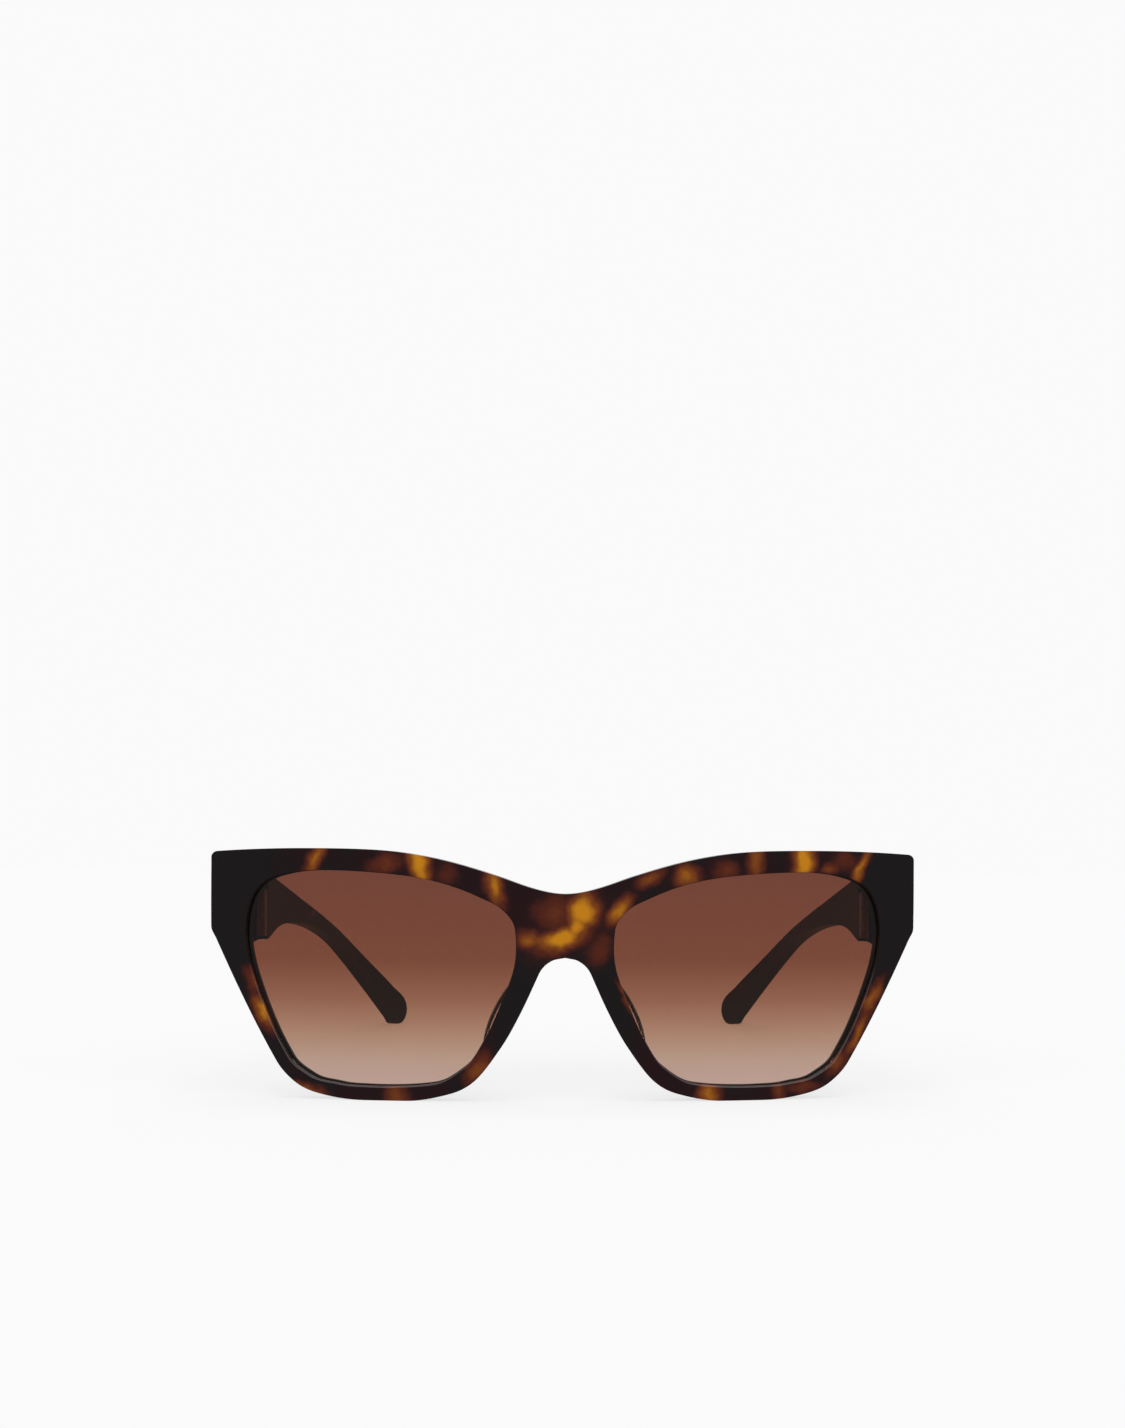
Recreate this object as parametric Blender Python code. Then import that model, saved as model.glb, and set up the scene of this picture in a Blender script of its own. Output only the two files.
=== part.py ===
"""Cat-eye sunglasses: a bent acetate front with two tinted lenses and bonded nose pads,
and two wire-cored temples that fold on three-knuckle hinges.

The glasses look along -Y and stand at z = 0 on their rims and temple tips. Left and right
are the wearer's, so the left side is at +X. Everything is drawn in millimetres with y = 0
at the front of the bridge; new_object turns it into metres, centred on the origin in x and y.
"""

import math

import bmesh
import bpy
import numpy as np
from mathutils import Matrix, Vector
from mathutils.geometry import interpolate_bezier

METRES_PER_MM = 0.001
SIDES = {"left": 1, "right": -1}

# Front
FRONT_WIDTH = 144.6
FRONT_HEIGHT = 50.6
FRONT_THICKNESS = 3.8
WRAP_RADIUS = 300.0
EDGE_CHAMFER = 0.6  # on the outside of the front
RIM_CHAMFER = 0.3  # round each lens opening
GROOVE_DEPTH = 0.7

# Lenses and nose pads
LENS_THICKNESS = 1.7
LENS_PLAY = 0.1  # between a lens's edge and its groove, on every side
LENS_DISH = 0.8  # how far a lens's middle stands forward of its edge
PAD_LENGTH = 17.6
PAD_WIDTH = 5.0
PAD_DEPTH = 5.6
PAD_SPLAY = 0.3  # how far a pad leans outwards for each millimetre of depth
PAD_TILT = 26.0  # degrees from upright, along the nose side of the rim
PAD_GAP = 0.05

# Endpieces and hinges
ENDPIECE_DEPTH = 4.2  # behind the back of the front
ENDPIECE_OVERLAP = 1.1  # how far the endpiece reaches into the front
ENDPIECE_OVERHANG = 0.2  # how far it stands outside the temple's outer face
ENDPIECE_FLARE = 1.4  # how far it widens towards the front
ENDPIECE_SLANT = 0.43  # how far its inner face moves outwards for each millimetre forwards
ENDPIECE_ROUNDING = 0.9  # its inner rear edge, which the temple turns past
HINGE_INSET = 9.2  # from the side of the front to the hinge axis
HINGE_HEIGHT = 37.0  # middle of the hinge on a front of the drawn height
AXIS_TO_PARTING = 1.4
AXIS_TO_INNER_FACE = 1.0
PARTING_GAP = 0.15
KNUCKLE_RADIUS = 1.15
KNUCKLE_LENGTH = 3.1
KNUCKLE_GAP = 0.08
BORE_RADIUS = 0.62
SCREW_RADIUS = 0.56
SCREW_HEAD_RADIUS = 1.0
SCREW_HEAD_HEIGHT = 0.45
SCREW_SLOT = 0.25
SLOT_PLAY = 0.15  # round the knuckles, in the endpiece
SCREW_END = 0.2  # how far the screw stops short of the lowest knuckle's foot
LEAF_THICKNESS = 0.86
LEAF_START = 0.2  # from the hinge axis outwards to the leaf and its necks
LEAF_WALL = 0.5  # between the leaf's outer edge and the endpiece's outer face
LEAF_SETBACK = 1.45  # from the hinge axis forwards to the leaf's rear face
NECK_OUT = 1.0  # from the hinge axis outwards to the far side of the necks
ANCHOR_RADIUS = 0.42
ANCHOR_LENGTH = 1.4
ANCHOR_INSET = 1.0  # from the leaf's outer edge
ANCHOR_SPACING = 2.8  # above and below the hinge's middle
TONGUE_LENGTH = 8.0
TONGUE_HEIGHT = 2.6
TONGUE_OFFSET = 0.65  # from the hinge axis outwards, to the tongue's middle
POCKET_PLAY = 0.08

# Temples
TEMPLE_LENGTH = 133.2
TEMPLE_THICKNESS = 4.0
TIP_THICKNESS = 3.0
TEMPLE_CHAMFER = 1.0
CORE_THICKNESS = 1.0
CORE_HEIGHT = 2.2
CORE_START = 0.4  # from the end of the hinge's tongue
CORE_END = 11.0  # from the tip

# Outlines are drawn at these sizes and scaled to the sizes above
DRAWN_WIDTH = 144.6
DRAWN_HEIGHT = 50.6
DRAWN_TEMPLE = 133.2

# Half of the front's outline, from the top of the bridge round to the top of the nose arch:
# x, z, heading in degrees, steps to the next point
FRONT_OUTLINE = (
    (0, 41.65, 0, 3),
    (7, 42.9, 16.5, 3),
    (14, 45.3, 17.5, 4),
    (25.2, 48.45, 12.5, 4),
    (38, 50.3, 3.5, 4),
    (52, 50.6, 0, 4),
    (71.0, 49.95, -4, 4),
    (72.3, 48.7, -90, 5),
    (72.25, 34.6, -91, 2),
    (71.2, 32.2, -115.5, 8),
    (58.3, 7.55, -121, 3),
    (54.1, 3.15, -144, 3),
    (48, 0.85, -168, 2),
    (40, 0, -180, 2),
    (32, 0, -180, 3),
    (22.5, 1.6, -196, 2),
    (17.1, 4.95, -227, 3),
    (13.1, 10.25, -235, 3),
    (9.04, 17.35, -243, 4),
    (5.2, 25.6, -245.5, 3),
    (0, 28.85, -180, 4),
)
# The lens opening, point for point opposite the outline above and the bridge's middle
OPENING_OUTLINE = (
    (10.05, 34.4, 83, 4),
    (12.4, 38.2, 43, 3),
    (17.5, 41.0, 25, 4),
    (28.1, 44.45, 11.5, 4),
    (40, 45.85, 4, 4),
    (50, 46.15, -1, 3),
    (58.6, 44.9, -16, 4),
    (63.4, 41.0, -63, 3),
    (64.9, 34.3, -88, 4),
    (63.2, 24.6, -108.5, 4),
    (59.0, 14.2, -115.5, 4),
    (55.7, 8.3, -121.5, 3),
    (51.3, 4.8, -148, 3),
    (45.4, 3.3, -168, 2),
    (39.3, 2.85, -178, 2),
    (33, 2.9, -182, 3),
    (26, 3.55, -189.5, 3),
    (20.1, 6.85, -217, 3),
    (16.2, 12.2, -240, 4),
    (12.05, 21.45, -248, 5),
    (10.35, 26.3, -256, 4),
    (10.05, 34.4, -277, 0),
)
# The temple from the side, from the parting line back to the tip: y, z, heading, steps
TEMPLE_TOP = (
    (0, 45.6, -10, 6),
    (29, 40.3, -11, 5),
    (64, 33.1, -13, 4),
    (88, 26.9, -17, 4),
    (111.4, 18.0, -24.5, 3),
    (124.5, 11.3, -31, 4),
    (133.2, 3.6, -90, 0),
)
TEMPLE_BOTTOM = (
    (0, 31.6, 6, 3),
    (11, 33.6, 8, 2),
    (24, 34.0, -2, 3),
    (48, 32.1, -7.5, 4),
    (70, 28.0, -13.5, 4),
    (90, 21.75, -21, 4),
    (110, 12.0, -30.5, 2),
    (124.4, 2.35, -36, 1),
    (127.6, 0.0, 0, 1),
    (128.9, 0.0, 0, 2),
    (133.2, 3.4, 80, 0),
)
# The temple's inner face from above: y, x inwards from its front end, heading, steps
TEMPLE_PLAN = (
    (0, 0, 0, 2),
    (11, 0.1, 1, 5),
    (82.4, 3.6, 4, 4),
    (110, 7.7, 13.5, 4),
    (133.2, 15.1, 21.5, 0),
)

PAD_CENTRE = (12.1, 17.0)
PAD_SHARES = (0, 0.3, 0.55, 0.75, 0.9, 0.98)  # of the pad's depth, at each ring round it
LENS_SHARES = (0.2, 0.45, 0.7, 0.88, 1.0)  # of the way out to the lens's edge, at each ring

ROUND_STEPS = 20
ROUNDING_STEPS = 4
FLARE_STEPS = 4
CORE_STEPS = 18
JOIN = 0.3  # how far pieces of one solid reach into each other
CUT_BEYOND = 2.0  # how far a cutter passes the surface it opens
SAME = 1e-4

half_width = FRONT_WIDTH / 2
width_scale = FRONT_WIDTH / DRAWN_WIDTH
height_scale = FRONT_HEIGHT / DRAWN_HEIGHT
temple_scale = TEMPLE_LENGTH / DRAWN_TEMPLE
hinge_x = half_width - HINGE_INSET
temple_x = hinge_x - AXIS_TO_INNER_FACE
endpiece_x = temple_x + TEMPLE_THICKNESS + ENDPIECE_OVERHANG
endpiece_sagitta = WRAP_RADIUS - math.sqrt(WRAP_RADIUS**2 - endpiece_x**2)
parting_y = endpiece_sagitta + FRONT_THICKNESS + ENDPIECE_DEPTH
hinge_y = parting_y - AXIS_TO_PARTING
hinge_z = HINGE_HEIGHT * height_scale
temple_y = parting_y + PARTING_GAP
hinge_half_height = 1.5 * KNUCKLE_LENGTH
leaf_outer = endpiece_x - LEAF_WALL
groove_width = LENS_THICKNESS + 2 * LENS_PLAY
groove_start = (FRONT_THICKNESS - groove_width) / 2
groove_end = groove_start + groove_width


def clear_scene():
    for old in list(bpy.data.objects):
        bpy.data.objects.remove(old)


def make_material(name, color, roughness, metallic=0.0, transmission=0.0):
    material = bpy.data.materials.new(name)
    material.use_nodes = True
    shader = material.node_tree.nodes["Principled BSDF"]
    shader.inputs["Base Color"].default_value = (*color, 1)
    shader.inputs["Roughness"].default_value = roughness
    shader.inputs["Metallic"].default_value = metallic
    shader.inputs["Transmission Weight"].default_value = transmission
    return material


def new_object(name, bm, material=None, pivot=None):
    """The drawn mesh as an object in metres, riding on pivot if there is one.

    With no material it only cuts or joins other meshes.
    """
    bmesh.ops.recalc_face_normals(bm, faces=bm.faces)
    if bm.calc_volume(signed=True) < 0:
        bmesh.ops.reverse_faces(bm, faces=bm.faces)
    bm.transform(Matrix.Scale(METRES_PER_MM, 4) @ Matrix.Translation((0, -centre_y, 0)))
    if pivot:
        bm.transform(Matrix.Translation(-pivot.location))
    mesh = bpy.data.meshes.new(name)
    bm.to_mesh(mesh)
    bm.free()
    obj = bpy.data.objects.new(name, mesh)
    bpy.context.scene.collection.objects.link(obj)
    obj.parent = pivot
    if material:
        mesh.materials.append(material)
        mesh.shade_smooth()
        mesh.set_sharp_from_angle(angle=math.radians(30))
    else:
        obj.hide_render = True
        obj.display_type = "WIRE"
    return obj


def boolean(obj, tool, operation):
    modifier = obj.modifiers.new(tool.name, "BOOLEAN")
    modifier.object = tool
    modifier.operation = operation


def traced(anchors, along=1.0, up=1.0):
    """Points on the smooth line through anchors, each (across, up, heading, steps to the next)."""
    points = [Vector((anchors[0][0] * along, 0, anchors[0][1] * up))]
    for (x0, z0, heading0, steps), (x1, z1, heading1, _) in zip(anchors, anchors[1:]):
        start, end = Vector((x0, 0, z0)), Vector((x1, 0, z1))
        turn = math.radians(heading1 - heading0)
        reach = (end - start).length / (3 * math.cos(turn / 4) ** 2)
        angles = math.radians(heading0), math.radians(heading1)
        ways = [Vector((math.cos(angle), 0, math.sin(angle))) for angle in angles]
        curve = interpolate_bezier(start, start + reach * ways[0], end - reach * ways[1], end, steps + 1)
        points += [Vector((p.x * along, 0, p.z * up)) for p in curve[1:]]
    return points


def outward_normals(loop):
    """The in-plane normals of a clockwise closed loop, pointing out of it."""
    normals = []
    for before, after in zip(loop[-1:] + loop[:-1], loop[1:] + loop[:1]):
        way = after - before
        normals.append(Vector((-way.z, 0, way.x)).normalized())
    return normals


def wrapped(point):
    """A point of the flat front, bent round the wearer's face with its x kept on the front face."""
    angle = math.asin(point.x / WRAP_RADIUS)
    radius = WRAP_RADIUS - point.y
    return Vector((radius * math.sin(angle), WRAP_RADIUS - radius * math.cos(angle), point.z))


class Loft:
    """A surface drawn out ring by ring; every ring has the same number of points."""

    def __init__(self, points):
        self.bm = bmesh.new()
        self.rank = self.bm.verts.layers.int.new("rank")
        self.ring = [self.bm.verts.new(point) for point in points]
        for number, vert in enumerate(self.ring):
            vert[self.rank] = number
        self.edges = [self.bm.edges.new(pair) for pair in zip(self.ring, self.ring[1:] + self.ring[:1])]

    def draw(self, points):
        made = bmesh.ops.extrude_edge_only(self.bm, edges=self.edges)["geom"]
        fresh = {item for item in made if isinstance(item, bmesh.types.BMVert)}
        for vert in fresh:
            vert.co = points[vert[self.rank]]
        self.ring = sorted(fresh, key=lambda vert: vert[self.rank])
        self.edges = [
            item for item in made if isinstance(item, bmesh.types.BMEdge) and set(item.verts) <= fresh
        ]

    def close_ends(self):
        """Fills both open ends of a tube."""
        open_edges = [edge for edge in self.bm.edges if edge.is_boundary]
        bmesh.ops.holes_fill(self.bm, edges=open_edges, sides=0)


def loft_solid(rings):
    loft = Loft(rings[0])
    for ring in rings[1:]:
        loft.draw(ring)
    loft.close_ends()
    return loft.bm


def box(low, high):
    bm = bmesh.new()
    bmesh.ops.create_cube(bm, size=1)
    size = [top - bottom for bottom, top in zip(low, high)]
    middle = [(top + bottom) / 2 for bottom, top in zip(low, high)]
    bm.transform(Matrix.LocRotScale(middle, None, size))
    return bm


def rod(radius, start, end):
    """A round rod along the line from start to end."""
    start, end = Vector(start), Vector(end)
    way = end - start
    bm = bmesh.new()
    bmesh.ops.create_cone(
        bm, segments=ROUND_STEPS, radius1=radius, radius2=radius, depth=way.length, cap_ends=True
    )
    turn = Vector((0, 0, 1)).rotation_difference(way).to_matrix().to_4x4()
    bm.transform(Matrix.Translation((start + end) / 2) @ turn)
    return bm


def mirrored(bm, side):
    """The same mesh on the wearer's left (side 1) or right (side -1)."""
    bm.transform(Matrix.Diagonal((side, 1, 1, 1)))
    return bm


def rim_loops():
    """(outer loop, opening loop) of the flat half front, with the bridge's middle closing the outer one."""
    outer = traced(FRONT_OUTLINE, width_scale, height_scale)
    bridge_steps = FRONT_OUTLINE[-1][3]
    bridge = [outer[-1].lerp(outer[0], step / bridge_steps) for step in range(1, bridge_steps)]
    opening = traced(OPENING_OUTLINE, width_scale, height_scale)[:-1]
    return outer + bridge, opening, len(outer)


def front_half():
    """The flat +X half of the front, open where it meets the other half at x = 0."""
    outer, opening, free = rim_loops()
    into_rim = outward_normals(opening)
    out_of_front = outward_normals(outer)
    out_of_front[0] = Vector((0, 0, 1))
    out_of_front[free - 1] = Vector((0, 0, -1))
    out_of_front[free:] = [Vector()] * (len(outer) - free)

    def at_opening(offset, depth):
        return [p + offset * n + Vector((0, depth, 0)) for p, n in zip(opening, into_rim)]

    def at_outside(inset, depth):
        return [p - inset * n + Vector((0, depth, 0)) for p, n in zip(outer, out_of_front)]

    def between(first, second):
        return [[a.lerp(b, share) for a, b in zip(first, second)] for share in (1 / 3, 2 / 3)]

    back = FRONT_THICKNESS
    face_rings = at_opening(RIM_CHAMFER, 0), at_outside(EDGE_CHAMFER, 0)
    back_rings = at_outside(EDGE_CHAMFER, back), at_opening(RIM_CHAMFER, back)
    rings = [
        face_rings[0],
        *between(*face_rings),
        face_rings[1],
        at_outside(0, EDGE_CHAMFER),
        at_outside(0, back - EDGE_CHAMFER),
        back_rings[0],
        *between(*back_rings),
        back_rings[1],
        at_opening(0, back - RIM_CHAMFER),
        at_opening(0, groove_end),
        at_opening(GROOVE_DEPTH, groove_end),
        at_opening(GROOVE_DEPTH, groove_start),
        at_opening(0, groove_start),
        at_opening(0, RIM_CHAMFER),
        face_rings[0],
    ]
    loft = Loft(rings[0])
    for ring in rings[1:]:
        loft.draw(ring)
    bm = loft.bm
    bmesh.ops.remove_doubles(bm, verts=bm.verts, dist=SAME)
    middle = [face for face in bm.faces if all(abs(vert.co.x) < SAME for vert in face.verts)]
    bmesh.ops.delete(bm, geom=middle, context="FACES")
    return bm


def wrap(bm):
    for vert in bm.verts:
        vert.co = wrapped(vert.co)


def endpiece(side):
    """The block behind the front's outer end: at its rear it has the temple's section.

    Towards the front it widens, and its inner face slants out to the edge of the lens opening.
    """
    shape = TempleShape()
    top, bottom = shape.top[0].z, shape.bottom[0].z
    depth = ENDPIECE_DEPTH + ENDPIECE_OVERLAP
    flat = ENDPIECE_ROUNDING + (depth - ENDPIECE_ROUNDING) / FLARE_STEPS

    def ring(y, inset, flare):
        inner = temple_x + inset + ENDPIECE_SLANT * (parting_y - y)
        outer = endpiece_x + flare
        low, high = bottom - flare, top + flare
        cut = TEMPLE_CHAMFER
        corners = (
            (inner + cut, high),
            (inner, high - cut),
            (inner, low + cut),
            (inner + cut, low),
            (outer - cut, low),
            (outer, low + cut),
            (outer, high - cut),
            (outer - cut, high),
        )
        return [Vector((x, y, z)) for x, z in corners]

    rings = []
    for step in range(FLARE_STEPS):
        share = 1 - step / FLARE_STEPS
        rings.append(ring(parting_y - flat - (depth - flat) * share, 0, ENDPIECE_FLARE * share**2))
    rings.append(ring(parting_y - flat, 0, 0))
    for step in range(ROUNDING_STEPS + 1):
        angle = math.pi / 2 * step / ROUNDING_STEPS
        inset = ENDPIECE_ROUNDING * (1 - math.cos(angle))
        rings.append(ring(parting_y - ENDPIECE_ROUNDING * (1 - math.sin(angle)), inset, 0))
    return mirrored(loft_solid(rings), side)


def leaf_plate(side, play=0.0):
    """The flat leaf that the endpiece holds."""
    rear = hinge_y - LEAF_SETBACK
    half = hinge_half_height + play
    low = (hinge_x + LEAF_START - play, rear - LEAF_THICKNESS - play, hinge_z - half)
    return mirrored(box(low, (leaf_outer + play, rear + play, hinge_z + half)), side)


def leaf_anchor(side, level, play=0.0):
    front = hinge_y - LEAF_SETBACK - LEAF_THICKNESS
    x = leaf_outer - ANCHOR_INSET
    z = hinge_z + level * ANCHOR_SPACING
    bm = rod(ANCHOR_RADIUS + play, (x, front + JOIN, z), (x, front - ANCHOR_LENGTH - play, z))
    return mirrored(bm, side)


def hinge_slot(side):
    """The room for the knuckles, open to the inside and to the rear."""
    half = hinge_half_height + SLOT_PLAY
    low = (temple_x - CUT_BEYOND, hinge_y - LEAF_SETBACK - SLOT_PLAY, hinge_z - half)
    high = (hinge_x + KNUCKLE_RADIUS + SLOT_PLAY, parting_y + CUT_BEYOND, hinge_z + half + SCREW_HEAD_HEIGHT)
    return mirrored(box(low, high), side)


def build_front(acetate):
    bm = front_half()
    bmesh.ops.mirror(bm, geom=bm.verts[:] + bm.edges[:] + bm.faces[:], axis="X", merge_dist=SAME)
    wrap(bm)
    front = new_object("front_frame", bm, acetate)
    for name, side in SIDES.items():
        boolean(front, new_object(f"endpiece_{name}", endpiece(side)), "UNION")
        boolean(front, new_object(f"slot_{name}", hinge_slot(side)), "DIFFERENCE")
        boolean(front, new_object(f"leaf_pocket_{name}", leaf_plate(side, POCKET_PLAY)), "DIFFERENCE")
        for level in (-1, 1):
            pocket = new_object(f"anchor_pocket_{name}_{level}", leaf_anchor(side, level, POCKET_PLAY))
            boolean(front, pocket, "DIFFERENCE")


def build_lens(name, side, tint):
    _, opening, _ = rim_loops()
    edge = [p + (GROOVE_DEPTH - LENS_PLAY) * n for p, n in zip(opening, outward_normals(opening))]
    middle = sum(edge, Vector()) / len(edge)
    edge_depth = groove_start + LENS_PLAY

    def ring(share, back):
        depth = edge_depth - LENS_DISH * (1 - share**2) + back
        return [middle.lerp(p, share) + Vector((0, depth, 0)) for p in edge]

    rings = [ring(share, 0) for share in LENS_SHARES]
    rings += [ring(share, LENS_THICKNESS) for share in reversed(LENS_SHARES)]
    bm = loft_solid(rings)
    caps = [face for face in bm.faces if len(face.verts) > 4]
    bmesh.ops.poke(bm, faces=caps)
    wrap(bm)
    new_object(f"lens_{name}", mirrored(bm, side), tint)


def build_nose_pad(name, side, clear):
    """A soft-edged pad on the back of the rim, leaning outwards like the side of the nose."""
    tilt = math.radians(PAD_TILT)
    along = Vector((-math.sin(tilt), 0, math.cos(tilt)))
    across = Vector((math.cos(tilt), 0, math.sin(tilt)))
    centre = Vector((PAD_CENTRE[0] * width_scale, 0, PAD_CENTRE[1] * height_scale))
    rings = []
    for share in PAD_SHARES:
        depth = PAD_DEPTH * share
        fullness = math.sqrt(1 - share**2)
        middle = centre + Vector((PAD_SPLAY * depth, FRONT_THICKNESS + PAD_GAP + depth, 0))
        ring = []
        for step in range(ROUND_STEPS):
            angle = 2 * math.pi * step / ROUND_STEPS
            width = math.cos(angle) * PAD_WIDTH / 2 * fullness
            height = math.sin(angle) * PAD_LENGTH / 2 * fullness**0.5
            ring.append(middle + width * across + height * along)
        rings.append(ring)
    bm = loft_solid(rings)
    wrap(bm)
    new_object(f"nose_pad_{name}", mirrored(bm, side), clear)


def knuckle(level):
    """One knuckle, without its bore: level -1 is the lowest, 1 the highest."""
    half = (KNUCKLE_LENGTH - KNUCKLE_GAP) / 2
    z = hinge_z + level * KNUCKLE_LENGTH
    return rod(KNUCKLE_RADIUS, (hinge_x, hinge_y, z - half), (hinge_x, hinge_y, z + half))


def knuckle_bore():
    reach = hinge_half_height + CUT_BEYOND
    return rod(BORE_RADIUS, (hinge_x, hinge_y, hinge_z - reach), (hinge_x, hinge_y, hinge_z + reach))


def build_front_leaf(name, side, steel):
    leaf = new_object(f"front_hinge_{name}", leaf_plate(side), steel)
    half = (KNUCKLE_LENGTH - KNUCKLE_GAP) / 2
    for level in (-1, 1):
        z = hinge_z + level * KNUCKLE_LENGTH
        neck_low = (hinge_x + LEAF_START, hinge_y - LEAF_SETBACK - JOIN, z - half)
        neck = box(neck_low, (hinge_x + NECK_OUT, hinge_y, z + half))
        pieces = {
            "anchor": leaf_anchor(side, level),
            "neck": mirrored(neck, side),
            "knuckle": mirrored(knuckle(level), side),
        }
        for piece, bm in pieces.items():
            boolean(leaf, new_object(f"front_{piece}_{name}_{level}", bm), "UNION")
    boolean(leaf, new_object(f"front_bore_{name}", mirrored(knuckle_bore(), side)), "DIFFERENCE")


def tongue(side, play=0.0):
    """The hinge's flat tongue, from the middle knuckle into the temple."""
    x = hinge_x + TONGUE_OFFSET
    low = (x - LEAF_THICKNESS / 2 - play, hinge_y, hinge_z - TONGUE_HEIGHT / 2 - play)
    end = temple_y + TONGUE_LENGTH + play
    high = (x + LEAF_THICKNESS / 2 + play, end, hinge_z + TONGUE_HEIGHT / 2 + play)
    return mirrored(box(low, high), side)


def build_temple_leaf(name, side, steel, pivot):
    leaf = new_object(f"temple_hinge_{name}", mirrored(knuckle(0), side), steel, pivot)
    boolean(leaf, new_object(f"tongue_{name}", tongue(side)), "UNION")
    boolean(leaf, new_object(f"temple_bore_{name}", mirrored(knuckle_bore(), side)), "DIFFERENCE")


def build_screw(name, side, steel):
    top = hinge_z + hinge_half_height
    foot = hinge_z - hinge_half_height + SCREW_END
    screw = new_object(
        f"hinge_screw_{name}",
        mirrored(rod(SCREW_RADIUS, (hinge_x, hinge_y, foot), (hinge_x, hinge_y, top + JOIN)), side),
        steel,
    )
    head = rod(SCREW_HEAD_RADIUS, (hinge_x, hinge_y, top), (hinge_x, hinge_y, top + SCREW_HEAD_HEIGHT))
    slot_low = (hinge_x - SCREW_SLOT / 2, hinge_y - CUT_BEYOND, top + SCREW_HEAD_HEIGHT / 2)
    slot_high = (hinge_x + SCREW_SLOT / 2, hinge_y + CUT_BEYOND, top + SCREW_HEAD_HEIGHT + CUT_BEYOND)
    boolean(screw, new_object(f"screw_head_{name}", mirrored(head, side)), "UNION")
    boolean(screw, new_object(f"screw_slot_{name}", mirrored(box(slot_low, slot_high), side)), "DIFFERENCE")


class TempleShape:
    """Places on a left temple by distance behind its front end, share of its height and depth into it."""

    def __init__(self):
        self.top = traced(TEMPLE_TOP, temple_scale, height_scale)
        self.bottom = traced(TEMPLE_BOTTOM, temple_scale, height_scale)
        self.plan = traced(TEMPLE_PLAN, temple_scale, 1.0)

    def thickness(self, y):
        thicknesses = (TEMPLE_THICKNESS, TIP_THICKNESS, TIP_THICKNESS)
        return float(np.interp(y / TEMPLE_LENGTH, (0, 0.3, 1), thicknesses))

    def inner_face(self, y):
        """(point on the inner face, unit vector into the temple) at z = 0."""
        ys, insets = [p.x for p in self.plan], [p.z for p in self.plan]
        inset, ahead = map(float, np.interp((y, y + 1), ys, insets))
        slope = ahead - inset if y + 1 <= ys[-1] else inset - np.interp(y - 1, ys, insets)
        return Vector((temple_x - inset, temple_y + y, 0)), Vector((1, slope, 0)).normalized()

    def place(self, y, z, depth):
        face, inwards = self.inner_face(y)
        return face + depth * inwards + Vector((0, 0, z))

    def section(self, top, bottom, chamfer, end_inset):
        """An eight-sided ring between a top point and a bottom point of the side outline."""
        chamfer = min(chamfer, 0.4 * (top - bottom).length)
        share = chamfer / (top - bottom).length
        ring = []
        for level, edge in ((0, chamfer), (share, 0), (1 - share, 0), (1, chamfer)):
            spot = top.lerp(bottom, level)
            ring.append(self.place(spot.x, spot.z, edge + end_inset))
        for level, edge in ((1, chamfer), (1 - share, 0), (share, 0), (0, chamfer)):
            spot = top.lerp(bottom, level)
            ring.append(self.place(spot.x, spot.z, self.thickness(spot.x) - edge - end_inset))
        return ring

    def rings(self):
        insets = [0.0] * (len(self.top) - 1) + [TEMPLE_CHAMFER]
        return [
            self.section(top, bottom, TEMPLE_CHAMFER, inset)
            for top, bottom, inset in zip(self.top, self.bottom, insets)
        ]

    def core_section(self, y, play):
        """A rectangular ring in the middle of the temple."""
        top = np.interp(y, [p.x for p in self.top], [p.z for p in self.top])
        bottom = np.interp(y, [p.x for p in self.bottom], [p.z for p in self.bottom])
        middle, depth = (top + bottom) / 2, self.thickness(y) / 2
        up, out = CORE_HEIGHT / 2 + play, CORE_THICKNESS / 2 + play
        corners = ((up, -out), (-up, -out), (-up, out), (up, out))
        return [self.place(y, middle + rise, depth + shift) for rise, shift in corners]


centre_y = max(point.y for point in TempleShape().rings()[-1]) / 2


def core_rings(shape, play, lead=0.0):
    """Rings along the core; lead starts them nearer the hinge."""
    start = TONGUE_LENGTH + CORE_START - lead
    end = TEMPLE_LENGTH - CORE_END + play
    places = [start + (end - start) * step / CORE_STEPS for step in range(CORE_STEPS + 1)]
    return [shape.core_section(y, play) for y in places]


def build_temple(name, side, acetate, steel, pivot):
    shape = TempleShape()
    temple = new_object(f"temple_{name}", mirrored(loft_solid(shape.rings()), side), acetate, pivot)
    core = mirrored(loft_solid(core_rings(shape, 0.0)), side)
    new_object(f"temple_core_{name}", core, steel, pivot)
    core_pocket = mirrored(loft_solid(core_rings(shape, POCKET_PLAY, 2 * CORE_START)), side)
    boolean(temple, new_object(f"core_pocket_{name}", core_pocket), "DIFFERENCE")
    boolean(temple, new_object(f"tongue_pocket_{name}", tongue(side, POCKET_PLAY)), "DIFFERENCE")


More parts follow.
